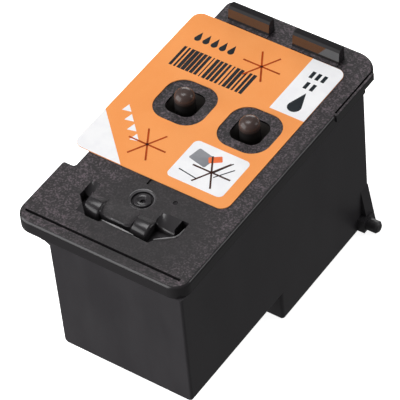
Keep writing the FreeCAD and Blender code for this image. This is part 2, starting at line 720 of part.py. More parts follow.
def make_contacts():
    """The gilded contact pads in rows on the rear run of the strip."""
    pads = Piece("contact_pads", y=f"{REAR_WALL} - flex_recess + flex_thick", z="contact_low")
    corner = ("-contact_pitch * (contact_columns - 1) / 2", "0")
    first = pads.pad("first_pad", "XZ", "0", [square(corner, "contact_size / 2")],
                     "contact_thick", reverse=True)
    grid = pads.body.newObject("PartDesign::MultiTransform", "grid")
    grid.Originals = [first]
    steps = []
    for axis, count in (("H_Axis", "contact_columns"), ("V_Axis", "contact_rows")):
        step = pads.body.newObject("PartDesign::LinearPattern", f"pads_along_{count}")
        step.Direction = (first.Profile[0], [axis])
        step.Mode = "Extent"
        bind(step, "Length", f"contact_pitch * ({count} - 1)")
        bind(step, "Occurrences", count)
        steps.append(step)
    grid.Transformations = steps
    pads.body.Tip = grid
    document.recompute()
    return pads


def make_bead(label, toward):
    """A bead of resin that fills the end of the die seat over the bond wires."""
    bead = Piece(label)
    end = "die_length / 2"
    low, high = (end, f"{end} + window_gap") if toward > 0 else (f"-{end} - window_gap", f"-{end}")
    bead.pad("fill", "XY", "plate_thick", [rectangle(
        "-die_width / 2", "die_width / 2", low, high)], f"{DIE_SEAT} - plate_thick")
    bead.round("soft_edges", "bead_round", lambda box: flat_at(box, "Z", size("plate_thick")))
    return bead


pieces = [make_tank(), make_lid(), make_label(),
          make_post("guide_post_left", LEFT_POST), make_post("guide_post_right", RIGHT_POST)]
pieces += [make(side) for make in (make_seal, make_foam, make_filter) for side in ("left", "right", "rear")]
pieces += [make_stack_layer("nozzle_plate", None, "plate_thick", False),
           make_stack_layer("silicon_die", "plate_thick", "die_thick", True),
           make_stack_layer("die_adhesive", "plate_thick + die_thick", "bond_thick", True),
           make_flex(), make_contacts(),
           make_bead("encapsulant_front", -1), make_bead("encapsulant_rear", 1)]

document.recompute()
os.makedirs("parts", exist_ok=True)
faults = [f"{item.Label}: {state}" for item in document.Objects for state in item.State
          if state in ("Invalid", "Error")]
for piece in pieces:
    shape = piece.body.Shape
    if shape.isNull() or not shape.isValid():
        faults.append(f"{piece.body.Label}: no valid shape")
if faults:
    raise RuntimeError("; ".join(faults))
for piece in pieces:
    piece.body.Shape.exportStep(os.path.join("parts", piece.body.Label + ".step"))
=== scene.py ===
"""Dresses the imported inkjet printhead: finishes, the label's print and small surface detail.

Sizes are in millimetres and become metres when a mesh is made. The origin is the centre of the
nozzle face, +Z is up, +Y runs to the contact wall at the rear and +X to the right.
"""

from __future__ import annotations

import logging
import math
from dataclasses import dataclass
from enum import Enum
from typing import Any, Iterable, Sequence

import bpy
from bpy.types import Material, NodeSocket, NodeTree, Object
from mathutils import Matrix, Vector


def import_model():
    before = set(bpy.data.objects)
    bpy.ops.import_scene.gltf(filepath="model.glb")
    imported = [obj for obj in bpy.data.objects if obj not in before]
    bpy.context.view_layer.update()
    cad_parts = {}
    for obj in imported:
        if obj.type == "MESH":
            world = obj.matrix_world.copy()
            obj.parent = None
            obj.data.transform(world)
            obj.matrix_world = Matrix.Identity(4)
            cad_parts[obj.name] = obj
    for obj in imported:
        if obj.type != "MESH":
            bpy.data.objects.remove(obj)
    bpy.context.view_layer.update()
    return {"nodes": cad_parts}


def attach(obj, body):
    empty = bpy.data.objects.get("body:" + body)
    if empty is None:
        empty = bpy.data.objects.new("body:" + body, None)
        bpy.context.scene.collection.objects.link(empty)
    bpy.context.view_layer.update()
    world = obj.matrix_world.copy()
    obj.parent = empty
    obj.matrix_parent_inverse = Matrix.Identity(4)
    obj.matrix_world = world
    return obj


log = logging.getLogger("printhead")

MM = 0.001
BODY = "root"
CORNER_STEPS = 8

Point = tuple[float, float]
Span = tuple[float, float]
Place = tuple[float, float, float]
Colour = tuple[float, float, float]


def srgb(red: float, green: float, blue: float) -> Colour:
    """Turns a screen colour into the linear colour that a shader takes.

    Args:
        red: Red from 0 to 255.
        green: Green from 0 to 255.
        blue: Blue from 0 to 255.

    Returns:
        The three linear channels from 0 to 1.
    """
    def channel(value: float) -> float:
        """Returns one channel as linear light."""
        part = value / 255
        return part / 12.92 if part <= 0.04045 else ((part + 0.055) / 1.055) ** 2.4

    return channel(red), channel(green), channel(blue)


# Node trees


class Value:
    """A number on a material's surface. Sums and products of values add the nodes that work them out."""

    def __init__(self, graph: Graph, socket: Any) -> None:
        """Keeps the graph and the output socket that carries the number."""
        self.graph = graph
        self.socket = socket

    def math(self, operation: str, *others: Value | float) -> Value:
        """Adds one Math node whose first input is this value."""
        return Value(self.graph, self.graph.math(operation, self, *others))

    def __add__(self, other: Value | float) -> Value:
        """Returns the sum."""
        return self.math("ADD", other)

    __radd__ = __add__

    def __sub__(self, other: Value | float) -> Value:
        """Returns the difference."""
        return self.math("SUBTRACT", other)

    def __rsub__(self, other: float) -> Value:
        """Returns a plain number less this value."""
        return Value(self.graph, self.graph.math("SUBTRACT", other, self))

    def __mul__(self, other: Value | float) -> Value:
        """Returns the product."""
        return self.math("MULTIPLY", other)

    __rmul__ = __mul__

    def __gt__(self, other: Value | float) -> Value:
        """Returns 1 where this value is the greater."""
        return self.math("GREATER_THAN", other)

    def __lt__(self, other: Value | float) -> Value:
        """Returns 1 where this value is the smaller."""
        return self.math("LESS_THAN", other)

    def between(self, low: float, high: float) -> Value:
        """Returns 1 where the value lies between two limits."""
        return (self > low) * (self < high)

    def ramp(self, low: float, high: float, start: float = 0.0, end: float = 1.0) -> Value:
        """Maps a range of the value smoothly to another.

        Args:
            low: The value that gives start.
            high: The value that gives end.
            start: The result at low.
            end: The result at high.

        Returns:
            The mapped value, held inside its limits.
        """
        made = self.graph.node("ShaderNodeMapRange", {"interpolation_type": "SMOOTHSTEP", "clamp": True},
                               {"Value": self, "From Min": low, "From Max": high,
                                "To Min": start, "To Max": end})
        return Value(self.graph, made.outputs["Result"])


class Nodes:
    """The node tree of a material or of a piece's geometry."""

    def __init__(self, tree: NodeTree) -> None:
        """Keeps the tree."""
        self.tree = tree

    def node(self, kind: str, settings: dict[str, Any] | None = None,
             inputs: dict[str | int, Any] | None = None) -> Any:
        """Adds one node of any type.

        Args:
            kind: The node's type.
            settings: The node's own settings, set before its sockets.
            inputs: Values or links by socket name or number.

        Returns:
            The new node.
        """
        made = self.tree.nodes.new(kind)
        for name, setting in (settings or {}).items():
            setattr(made, name, setting)
        for name, given in (inputs or {}).items():
            self.feed(made.inputs[name], given)
        return made

    def feed(self, socket: Any, given: Any) -> None:
        """Sets one socket to a value or links it to one.

        Args:
            socket: The input socket.
            given: A plain value, a Value or an output socket.
        """
        if isinstance(given, Value):
            given = given.socket
        if isinstance(given, NodeSocket):
            self.tree.links.new(given, socket)
        elif isinstance(given, tuple) and len(given) == 3 and socket.type == "RGBA":
            socket.default_value = (*given, 1.0)
        else:
            socket.default_value = given

    def math(self, operation: str, *terms: Any) -> Any:
        """Adds one Math node and returns its result's socket."""
        return self.node("ShaderNodeMath", {"operation": operation}, dict(enumerate(terms))).outputs[0]


class Graph(Nodes):
    """A material's node tree, built around one Principled shader."""

    def __init__(self, name: str) -> None:
        """Makes an empty material with its shader and output."""
        self.material = bpy.data.materials.new(name)
        self.material.use_nodes = True
        super().__init__(self.material.node_tree)
        self.tree.nodes.clear()
        output = self.node("ShaderNodeOutputMaterial")
        self.shader = self.node("ShaderNodeBsdfPrincipled")
        self.feed(output.inputs["Surface"], self.shader.outputs[0])
        self.place = self.node("ShaderNodeTexCoord").outputs["Object"]

    def axes(self) -> tuple[Value, Value, Value]:
        """Returns x, y and z on the surface, in millimetres."""
        scaled = self.node("ShaderNodeVectorMath", {"operation": "SCALE"},
                           {0: self.place, "Scale": 1 / MM})
        split = self.node("ShaderNodeSeparateXYZ", None, {0: scaled.outputs[0]})
        return tuple(Value(self, socket) for socket in split.outputs)

    def facing(self) -> tuple[Value, Value, Value]:
        """Returns the x, y and z parts of the surface's own direction."""
        geometry = self.node("ShaderNodeNewGeometry")
        split = self.node("ShaderNodeSeparateXYZ", None, {0: geometry.outputs["True Normal"]})
        return tuple(Value(self, socket) for socket in split.outputs)

    def noise(self, grain: float, detail: float = 3.0, roughness: float = 0.55,
              stretch: Sequence[float] = (1.0, 1.0, 1.0)) -> Value:
        """Adds a cloudy noise.

        Args:
            grain: The size of its features in millimetres.
            detail: How many finer layers it has.
            roughness: How strong the finer layers are.
            stretch: How much finer it is along each axis.

        Returns:
            The noise, about 0.5 on average.
        """
        mapped = self.node("ShaderNodeMapping", None, {"Vector": self.place, "Scale": tuple(stretch)})
        feeds = {"Vector": mapped.outputs[0], "Scale": 1 / (grain * MM), "Detail": detail,
                 "Roughness": roughness}
        return Value(self, self.node("ShaderNodeTexNoise", None, feeds).outputs["Fac"])

    def blend(self, factor: Value | float, low: Any, high: Any) -> Any:
        """Mixes two colours.

        Args:
            factor: How much of the second colour shows.
            low: The first colour or its socket.
            high: The second colour or its socket.

        Returns:
            The mixed colour's socket.
        """
        made = self.node("ShaderNodeMix", {"data_type": "RGBA"}, {0: factor, 6: low, 7: high})
        return made.outputs[2]

    def bump(self, height: Value, depth: float) -> Any:
        """Returns the normal of a relief from 0 to 1 that is a depth in millimetres deep."""
        feeds = {"Strength": 1.0, "Distance": depth * MM, "Height": height}
        return self.node("ShaderNodeBump", None, feeds).outputs["Normal"]

    def dress(self, **sockets: Any) -> Material:
        """Sets the shader's sockets, whose names are written with underscores.

        Args:
            sockets: Values or links by socket name.

        Returns:
            The finished material.
        """
        for name, given in sockets.items():
            self.feed(self.shader.inputs[name.replace("_", " ")], given)
        return self.material


# Finishes


@dataclass(frozen=True)
class TankPlastic:
    """Satin black moulding compound with faint flow marks and a fine surface grain."""

    colour: Colour = (0.035, 0.032, 0.036)
    flow_colour: Colour = (0.045, 0.042, 0.046)
    roughness: float = 0.42
    gloss_drift: float = 0.10
    flow_size: float = 7.0
    flow_stretch: Place = (1.0, 1.0, 0.35)
    grain: float = 0.28
    relief: float = 0.012
    ior: float = 1.5

    def make(self) -> Material:
        """Builds the material.

        Returns:
            The finished material.
        """
        graph = Graph("tank_plastic")
        flow = graph.noise(self.flow_size, 4.0, 0.5, self.flow_stretch)
        fine = graph.noise(self.grain, 2.0)
        rough = fine * self.gloss_drift + flow * self.gloss_drift + (self.roughness - self.gloss_drift)
        return graph.dress(
            Base_Color=graph.blend(flow.ramp(0.35, 0.7), self.colour, self.flow_colour),
            Roughness=rough, Normal=graph.bump(fine, self.relief), IOR=self.ior)


@dataclass(frozen=True)
class LidPlastic:
    """Black lid moulding: spark-eroded grain on its top, smooth recesses and polished hook faces; its
    colour also carries painted light: lighter wells, darker hook tops, and glinting specks that thin out
    near the front.
    """

    colour: Colour = (0.010, 0.0085, 0.0095)
    speck_glint_colour: Colour = (0.114, 0.086, 0.101)
    smooth_colour: Colour = (0.026, 0.024, 0.026)
    polished_colour: Colour = (0.004, 0.003, 0.003)
    well_fill_light_colour: Colour = (0.13, 0.118, 0.11)
    crown_shade_colour: Colour = (0.006, 0.005, 0.006)
    grain: float = 0.22
    speck: float = 0.38
    cloud: float = 1.5
    relief: float = 0.05
    ior: float = 1.42
    coat_roughness: float = 0.06
    coat_ior: float = 1.65
    top: float = 34.5
    rim: float = 0.06
    hook_foot: float = 0.25
    lugs_across: tuple[Span, ...] = ((-12.6, -9.0), (-2.9, 0.7))
    lugs_along: Span = (-36.0, -32.3)
    slope_across: Span = (-9.3, -2.6)
    slope_along: Span = (-34.2, -30.9)
    slope_depth: float = 1.2
    wells_across: Span = (-15.2, 6.6)
    wells_along: Span = (-9.9, -1.5)
    well_depth: float = 0.4
    glint_fade_centre: Point = (-0.5, -32.5)
    glint_fade_radii: Span = (7.5, 15.5)
    glint_fade_share: float = 0.22

    def make(self) -> Material:
        """Builds the material.

        Returns:
            The finished material.
        """
        graph = Graph("lid_plastic")
        x, y, z = graph.axes()
        _, front, up = graph.facing()
        fine = graph.noise(self.grain, 3.0, 0.7)
        speck = graph.noise(self.speck, 2.0, 0.7)
        cloud = graph.noise(self.cloud, 3.0, 0.6)
        on_hook = z > self.top + self.hook_foot
        polished = (front < -0.8) * on_hook
        # Painted shade: the hooks' tops are painted darker and made rougher, which also covers their
        # grain.
        crown_shade = on_hook * (up > 0.2)
        grained = self.grained(x, y, z, up)
        # Painted light: the grain's lighter specks stand partly for glints, and they are painted to thin
        # out toward the middle of the front.
        across, along = x - self.glint_fade_centre[0], y - self.glint_fade_centre[1]
        away = (across * across + along * along).math("SQRT")
        painted_glint = away.ramp(*self.glint_fade_radii, self.glint_fade_share, 1.0)
        mottle = (speck * 0.66 + cloud * 0.34).ramp(0.44, 0.68) * grained * painted_glint
        # Painted light: the wells' insides get a lighter colour that stands in for the light reaching into
        # them.
        well = x.between(*self.wells_across) * y.between(*self.wells_along)
        well = well * (z < self.top - self.well_depth)
        colour = graph.blend(grained, self.smooth_colour, self.colour)
        colour = graph.blend(well, colour, self.well_fill_light_colour)
        colour = graph.blend(mottle, colour, self.speck_glint_colour)
        colour = graph.blend(crown_shade, colour, self.crown_shade_colour)
        colour = graph.blend(polished, colour, self.polished_colour)
        rough = (grained * 0.30 + fine * 0.10 + 0.18) * (1 - polished) + polished * 0.08 + crown_shade * 0.40
        relief = (fine * 0.6 + speck * 0.4) * grained
        return graph.dress(
            Base_Color=colour, Roughness=rough, Normal=graph.bump(relief, self.relief), IOR=self.ior,
            Coat_Weight=polished, Coat_Roughness=self.coat_roughness, Coat_IOR=self.coat_ior)

    def grained(self, x: Value, y: Value, z: Value, up: Value) -> Value:
        """Finds the grained faces: the lid's top around the lugs, and the slope between them.

        Args:
            x: The place across the lid.
            y: The place along the lid.
            z: The height.
            up: How far the surface faces up.

        Returns:
            1 where the surface is grained.
        """
        left_lug, right_lug = (x.between(*span) for span in self.lugs_across)
        lugs = (left_lug + right_lug) * y.between(*self.lugs_along)
        upper = (up > 0.9) * (z > self.top - self.rim) * (1 - lugs)
        slope = (up > 0.89) * z.between(self.top - self.slope_depth, self.top - self.rim)
        slope = slope * x.between(*self.slope_across) * y.between(*self.slope_along)
        return (upper + slope).ramp(0.0, 1.0)


@dataclass(frozen=True)
class PostPlastic:
    """Smoky moulded post: a brown dome over a shank whose colour is painted dark as the shade in its well.
    """

    dome_colour: Colour = (0.062, 0.043, 0.039)
    shank_shade_colour: Colour = (0.003, 0.002, 0.002)
    dome_heights: Span = (35.2, 36.0)
    roughness: float = 0.17
    shank_dulling: float = 0.50
    grain: float = 0.4
    relief: float = 0.008
    ior: float = 1.38

    def make(self) -> Material:
        """Builds the material.

        Returns:
            The finished material.
        """
        graph = Graph("post_plastic")
        fine = graph.noise(self.grain, 3.0)
        # Painted shade: below the dome the colour darkens to a shaded copy of the dome's brown for the
        # shade in the well.
        dome = graph.axes()[2].ramp(*self.dome_heights)
        return graph.dress(
            Base_Color=graph.blend(dome, self.shank_shade_colour, self.dome_colour),
            Roughness=(1 - dome) * self.shank_dulling + fine * 0.10 + self.roughness,
            Normal=graph.bump(fine, self.relief), IOR=self.ior)


@dataclass(frozen=True)
class PlainFinish:
    """A finish of one colour that drifts a little, with its own grain and gloss."""

    name: str
    colour: Colour
    drift: Colour
    roughness: float
    gloss_drift: float = 0.12
    drift_size: float = 3.0
    grain: float = 0.2
    relief: float = 0.006
    metallic: float = 0.0
    coat: float = 0.0
    ior: float = 1.5

    def make(self) -> Material:
        """Builds the material.

        Returns:
            The finished material.
        """
        graph = Graph(self.name)
        drift = graph.noise(self.drift_size, 4.0)
        fine = graph.noise(self.grain, 3.0)
        return graph.dress(
            Base_Color=graph.blend(drift.ramp(0.35, 0.65), self.colour, self.drift),
            Roughness=fine * self.gloss_drift + (self.roughness - self.gloss_drift / 2),
            Metallic=self.metallic, Coat_Weight=self.coat, IOR=self.ior,
            Normal=graph.bump(fine, self.relief))


@dataclass(frozen=True)
class WovenMesh:
    """Fine twilled steel cloth, as on the outlet filters."""

    colour: Colour = (0.42, 0.42, 0.43)
    shade: Colour = (0.10, 0.10, 0.11)
    pitch: float = 0.12

    def make(self) -> Material:
        """Builds the material.

        Returns:
            The finished material.
        """
        graph = Graph("filter_mesh")
        x, y, _ = graph.axes()
        turn = 2 * math.pi / self.pitch
        weave = ((x * turn).math("SINE") * (y * turn).math("SINE")).ramp(-1.0, 1.0)
        return graph.dress(Base_Color=graph.blend(weave, self.shade, self.colour), Metallic=1.0,
                           Roughness=weave * 0.2 + 0.25, Normal=graph.bump(weave, 0.02))


Finish = TankPlastic | LidPlastic | PostPlastic | PlainFinish | WovenMesh

INK_BLACK = PlainFinish("print_dark", srgb(24, 30, 36), srgb(31, 38, 43), 0.45, ior=1.25)
INK_WHITE = PlainFinish("print_white", (0.86, 0.86, 0.87), (0.82, 0.82, 0.84), 0.42, relief=0.002)
INK_ORANGE = PlainFinish("print_orange", srgb(235, 110, 45), srgb(225, 102, 40), 0.45)
INK_GREY = PlainFinish("print_grey", srgb(120, 122, 128), srgb(135, 137, 142), 0.45)
SLIT_BROWN = PlainFinish("slit_brown", srgb(176, 66, 12), srgb(150, 56, 10), 0.6, ior=1.2)
PAPER_SLIT = PlainFinish("paper_slit", srgb(70, 44, 36), srgb(58, 36, 30), 0.6, ior=1.2)
HOLE_BROWN = PlainFinish("hole_brown", srgb(50, 20, 12), srgb(40, 16, 10), 0.6, ior=1.2)
# Painted shade: dark discs stand for the shade inside the nozzle holes.
NOZZLE_HOLE_SHADE = PlainFinish("nozzle_dark", (0.01, 0.01, 0.01), (0.02, 0.02, 0.02), 0.5)
COPPER_LINES = PlainFinish("copper_lines", (0.62, 0.25, 0.06), (0.55, 0.21, 0.05), 0.35, metallic=0.7)
# Painted highlight: a light grey for the rim beads that stands in for the light their edges catch.
RIM_HIGHLIGHT = PlainFinish("worn_edge", (0.18, 0.175, 0.18), (0.13, 0.127, 0.13), 0.28)
# Painted highlight: a lighter grey for the gate's chamfer ring so that its rim reads bright.
DIM_RIM_HIGHLIGHT = PlainFinish("dull_edge", (0.085, 0.081, 0.085), (0.065, 0.062, 0.065), 0.30)


# Outlines and meshes


def rounded(corners: Sequence[tuple[float, float, float]]) -> list[Point]:
    """Rounds the corners of a flat outline.

    Args:
        corners: x, y and radius of each corner, anticlockwise.

    Returns:
        The outline's points.
    """
    points: list[Point] = []
    count = len(corners)
    for turn, (x, y, radius) in enumerate(corners):
        if radius <= 0:
            points.append((x, y))
            continue
        here = Vector((x, y))
        before = (Vector(corners[turn - 1][:2]) - here).normalized()
        after = (Vector(corners[(turn + 1) % count][:2]) - here).normalized()
        half = before.angle(after) / 2
        centre = here + (before + after).normalized() * (radius / math.sin(half))
        start = here + before * (radius / math.tan(half)) - centre
        sweep = math.pi - 2 * half
        side = 1 if before.cross(after) < 0 else -1
        for step in range(CORNER_STEPS + 1):
            angle = side * sweep * step / CORNER_STEPS
            spun = Matrix.Rotation(angle, 2) @ start
            points.append((centre.x + spun.x, centre.y + spun.y))
    return points


def oblong(left: float, front: float, right: float, rear: float, radius: float = 0.0) -> list[Point]:
    """Returns the outline of a rectangle whose corners have one radius."""
    corners = ((left, front), (right, front), (right, rear), (left, rear))
    return rounded([(x, y, radius) for x, y in corners])


def arc(radius: float, start: float, end: float, steps: int) -> list[Point]:
    """Returns the points of an arc about the origin, from one angle in degrees to another."""
    angles = [math.radians(start + (end - start) * step / steps) for step in range(steps + 1)]
    return [(radius * math.cos(angle), radius * math.sin(angle)) for angle in angles]


def moved(points: Iterable[Point], x: float, y: float, turn: float = 0.0) -> list[Point]:
    """Turns an outline about its own origin and moves it.

    Args:
        points: The outline.
        x: The move along x.
        y: The move along y.
        turn: The turn in degrees.

    Returns:
        The moved outline.
    """
    angle = math.radians(turn)
    return [(x + px * math.cos(angle) - py * math.sin(angle),
             y + px * math.sin(angle) + py * math.cos(angle)) for px, py in points]


class Slot(Enum):
    """The names of the record's material slots."""

    LID = "lid"
    FILM = "film"
    PLATE = "plate"
    GOLD = "gold"


def keep(piece: Object) -> Object:
    """Gives a finished piece to the body.

    Args:
        piece: The finished piece.

    Returns:
        The same piece.
    """
    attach(piece, BODY)
    return piece


def meshed(name: str, points: Sequence[Sequence[float]], faces: Sequence[Sequence[int]],
           finish: Material, soft: bool = False) -> Object:
    """Turns points in millimetres and faces into a finished piece.

    Args:
        name: The piece's name.
        points: Its points.
        faces: The numbers of each face's points.
        finish: Its material.
        soft: Whether its faces are shaded as one soft surface.

    Returns:
        The finished piece.
    """
    mesh = bpy.data.meshes.new(name)
    mesh.from_pydata([tuple(part * MM for part in point) for point in points], [], faces)
    mesh.materials.append(finish)
    if soft:
        mesh.shade_smooth()
    mesh.update()
    piece = bpy.data.objects.new(name, mesh)
    bpy.context.collection.objects.link(piece)
    return keep(piece)


def sheet(name: str, rows: Sequence[Sequence[Sequence[float]]], finish: Material,
          ring: bool = False) -> Object:
    """Makes a soft surface on the lid from rows of points.

    Args:
        name: The piece's name.
        rows: Rows of points in millimetres, all of one length.
        finish: Its material.
        ring: Whether the last row joins the first.

    Returns:
        The finished piece.
    """
    across = len(rows[0])
    points = [point for row in rows for point in row]
    faces = [[row * across + turn, row * across + turn + 1,
              (row + 1) % len(rows) * across + turn + 1, (row + 1) % len(rows) * across + turn]
             for row in range(len(rows) - (0 if ring else 1)) for turn in range(across - 1)]
    return meshed(name, points, faces, finish, soft=True)


def plates(name: str, outlines: Sequence[Sequence[Point]], low: float, high: float,
           finish: PlainFinish) -> Object:
    """Makes thin flat plates with closed sides on the label.

    Args:
        name: The piece's name.
        outlines: Flat outlines in millimetres, anticlockwise.
        low: The height of their undersides.
        high: The height of their tops.
        finish: Their finish.

    Returns:
        The finished piece.
    """
    points: list[Place] = []
    faces: list[list[int]] = []
    for outline in outlines:
        base = len(points)
        count = len(outline)
        points += [(x, y, low) for x, y in outline]
        points += [(x, y, high) for x, y in outline]
        faces.append([base + turn for turn in reversed(range(count))])
        faces.append([base + count + turn for turn in range(count)])
        for turn in range(count):
            after = (turn + 1) % count
            faces.append([base + turn, base + after, base + count + after, base + count + turn])
    return meshed(name, points, faces, finish.make())


class Recipe(Nodes):
    """A Geometry Nodes tree with named sizes, which is turned into one plain mesh."""

    def __init__(self, name: str) -> None:
        """Makes an empty tree with its output."""
        super().__init__(bpy.data.node_groups.new(name, "GeometryNodeTree"))
        self.name = name
        self.tree.interface.new_socket(name="Geometry", in_out="OUTPUT", socket_type="NodeSocketGeometry")
        self.start = self.node("NodeGroupInput")
        self.end = self.node("NodeGroupOutput")
        self.given: dict[str, float] = {}

    def size(self, name: str, amount: float, whole: bool = False) -> Any:
        """Adds a named size to the tree.

        Args:
            name: The size's name.
            amount: Its value, in metres where it is a length.
            whole: Whether it is a whole number.

        Returns:
            The socket that carries it.
        """
        kind = "NodeSocketInt" if whole else "NodeSocketFloat"
        socket = self.tree.interface.new_socket(name=name, in_out="INPUT", socket_type=kind)
        self.given[socket.identifier] = amount
        return self.start.outputs[name]

    def vector(self, x: Any = 0.0, y: Any = 0.0, z: Any = 0.0) -> Any:
        """Returns the socket of a vector made of three parts."""
        return self.node("ShaderNodeCombineXYZ", None, {0: x, 1: y, 2: z}).outputs[0]

    def box(self, x: Any, y: Any, z: Any) -> Any:
        """Returns the socket of a box with these sides."""
        return self.node("GeometryNodeMeshCube", None, {"Size": self.vector(x, y, z)}).outputs["Mesh"]

    def row(self, count: Any, offset: Any, start: Place = (0.0, 0.0, 0.0)) -> Any:
        """Returns the socket of a row of points."""
        inputs = {"Count": count, "Start Location": start, "Offset": offset}
        return self.node("GeometryNodeMeshLine", None, inputs).outputs["Mesh"]

    def copies(self, points: Any, shape: Any, **inputs: Any) -> Any:
        """Returns the socket of a shape's copies, one on each point."""
        inputs = {"Points": points, "Instance": shape, **inputs}
        return self.node("GeometryNodeInstanceOnPoints", None, inputs).outputs[0]

    def joined(self, parts: Iterable[Any]) -> Any:
        """Returns the socket of several parts taken together."""
        joint = self.node("GeometryNodeJoinGeometry")
        for part in parts:
            self.feed(joint.inputs[0], part)
        return joint.outputs[0]

    def finish(self, geometry: Any, finish: PlainFinish, slot: Slot) -> Object:
        """Ends the tree and turns its result into a plain piece.

        Args:
            geometry: The geometry's socket.
            finish: The piece's finish.
            slot: The record's material slot; not used.

        Returns:
            The finished piece.
        """
        real = self.node("GeometryNodeRealizeInstances", None, {0: geometry})
        dressed = self.node("GeometryNodeSetMaterial", None,
                            {"Geometry": real.outputs[0], "Material": finish.make()})
        self.feed(self.end.inputs[0], dressed.outputs[0])
        piece = bpy.data.objects.new(self.name, bpy.data.meshes.new(self.name))
        bpy.context.collection.objects.link(piece)
        maker = piece.modifiers.new("recipe", "NODES")
        maker.node_group = self.tree
        for identifier, amount in self.given.items():
            maker[identifier] = amount
        graph = bpy.context.evaluated_depsgraph_get()
        plain = bpy.data.meshes.new_from_object(piece.evaluated_get(graph))
        piece.modifiers.remove(maker)
        piece.data = plain
        return keep(piece)


# The label's print


@dataclass
class LabelPrint:
    """The label's print: white fields, bars, drops, arrows, dashes, a plain picture and star slits."""

    top: float = 34.66
    ink: float = 0.006
    left: float = -22.1
    right: float = 9.3
    front: float = -23.64
    rear: float = 14.55
    corner: float = 1.8
    edge: float = 0.02
    pull_rear: float = -13.9
    pull_right: float = -12.05
    panel_left: float = 2.26
    panel_front: float = 0.56
    square: tuple[float, float, float, float] = (-4.24, -21.64, 7.06, -12.14)
    square_corner: float = 1.0
    bar_count: int = 18
    bar_pitch: float = 0.86
    bar_height: float = 5.2
    bar_widths: Span = (0.16, 0.84)
    bar_seed: int = 11
    bars_from: Point = (-18.7, 3.4)
    repeat: float = 1.75
    drop_count: int = 5
    drops_from: Point = (-18.1, 9.0)
    arrow_count: int = 4
    arrows_from: Point = (-18.9, -12.1)
    arrow: tuple[Point, ...] = ((-0.95, -0.70), (0.95, -0.70), (0.0, 0.80))
    arrow_turn: float = 135.0
    dash: Point = (0.35, 0.85)
    dashes: tuple[Point, ...] = ((4.4, 11.0), (5.6, 11.0), (6.8, 11.0), (4.9, 8.3), (6.2, 8.3))
    large_drop: float = 2.1
    large_drop_at: Point = (5.9, 3.6)
    stars: tuple[Point, ...] = ((-4.4, 8.3), (-10.85, -17.4), (2.35, -17.4))
    star_cuts: int = 3
    star_reach: float = 3.8
    slit: float = 0.33
    hole: float = 0.26
    hole_sides: int = 15

    def build(self) -> list[Object]:
        """Builds every printed piece.

        Returns:
            The pieces.
        """
        return [
            self.white_fields(), self.bars(), self.drops(), self.arrows(), self.code_marks(),
            *self.picture(), self.star_slits("star_slits", self.stars[:2], SLIT_BROWN),
            self.star_slits("paper_slits", self.stars[2:], PAPER_SLIT), self.star_holes(),
        ]

    def layer(self, number: int) -> tuple[float, float]:
        """Returns the underside and top of one layer of ink."""
        return self.top + self.ink * (number - 1), self.top + self.ink * number

    def white_fields(self) -> Object:
        """Builds the pull corner, the rear panel and the rounded square."""
        left, front = self.left + self.edge, self.front + self.edge
        right, rear = self.right - self.edge, self.rear - self.edge
        pull = rounded([(left, self.pull_rear, 0.0), (left, front, self.corner),
                        (self.pull_right, front, 0.0)])
        panel = rounded([(self.panel_left, self.panel_front, 0.0), (right, self.panel_front, 0.0),
                         (right, rear, self.corner), (self.panel_left, rear, 0.0)])
        square = oblong(*self.square, self.square_corner)
        return plates("print_white_fields", [pull, panel, square], *self.layer(1), INK_WHITE)

    def bars(self) -> Object:
        """Builds the block of plain bars with a Geometry Nodes tree."""
        low, high = self.layer(1)
        x, y = self.bars_from
        recipe = Recipe("print_bars")
        count = recipe.size("Count", self.bar_count, whole=True)
        pitch = recipe.size("Pitch", self.bar_pitch * MM)
        tall = recipe.size("Height", self.bar_height * MM)
        thin = recipe.size("Thinnest", self.bar_widths[0] * MM)
        thick = recipe.size("Thickest", self.bar_widths[1] * MM)
        points = recipe.row(count, recipe.vector(pitch), (x * MM, y * MM, (low + high) / 2 * MM))
        width = recipe.node("FunctionNodeRandomValue", {"data_type": "FLOAT"},
                            {"Min": thin, "Max": thick, "Seed": self.bar_seed}).outputs["Value"]
        bar = recipe.box(1.0, tall, (high - low) * MM)
        placed = recipe.copies(points, bar, Scale=recipe.vector(width, 1.0, 1.0))
        return recipe.finish(placed, INK_BLACK, Slot.FILM)

    def drops(self) -> Object:
        """Builds a row of five ink drops."""
        x, y = self.drops_from
        outlines = [moved(self.drop(1.0), x + self.repeat * turn, y) for turn in range(self.drop_count)]
        return plates("print_drops", outlines, *self.layer(1), INK_BLACK)

    def drop(self, size: float) -> list[Point]:
        """Returns the outline of a drop with its point to the rear."""
        radius, low, tip = 0.62 * size, -0.35 * size, 1.45 * size
        return [*moved(arc(radius, 150, 390, 18), 0.0, low), (0.0, tip)]

    def arrows(self) -> Object:
        """Builds the row of white arrowheads that point to the pull corner."""
        x, y = self.arrows_from
        outlines = [moved(self.arrow, x + self.repeat * turn, y - self.repeat * turn, self.arrow_turn)
                    for turn in range(self.arrow_count)]
        return plates("print_arrows", outlines, *self.layer(1), INK_WHITE)

    def code_marks(self) -> Object:
        """Builds the small dark marks on the rear panel: two rows of dashes and a large drop."""
        across, along = self.dash
        dash = oblong(-across, -along, across, along)
        outlines = [*(moved(dash, *place) for place in self.dashes),
                    moved(self.drop(self.large_drop), *self.large_drop_at)]
        return plates("print_code_marks", outlines, *self.layer(2), INK_BLACK)

    def picture(self) -> list[Object]:
        """Builds the plain picture on the rounded square: a block, a tab and a few lines."""
        block = moved(oblong(-2.2, -1.6, 1.6, 1.2, 0.3), -0.6, -15.2, -12)
        tab = moved(oblong(-1.2, -0.7, 1.2, 0.7, 0.2), 1.3, -14.6, 35)
        line = oblong(-2.0, -0.11, 2.0, 0.11, 0.1)
        lines = [moved(line, *place) for place in ((3.6, -15.6, 62), (4.4, -16.6, 55), (-1.0, -19.6, -8))]
        return [
            plates("picture_block", [block], *self.layer(2), INK_GREY),
            plates("picture_tab", [tab], *self.layer(3), INK_ORANGE),
            plates("picture_lines", lines, *self.layer(2), INK_BLACK),
        ]

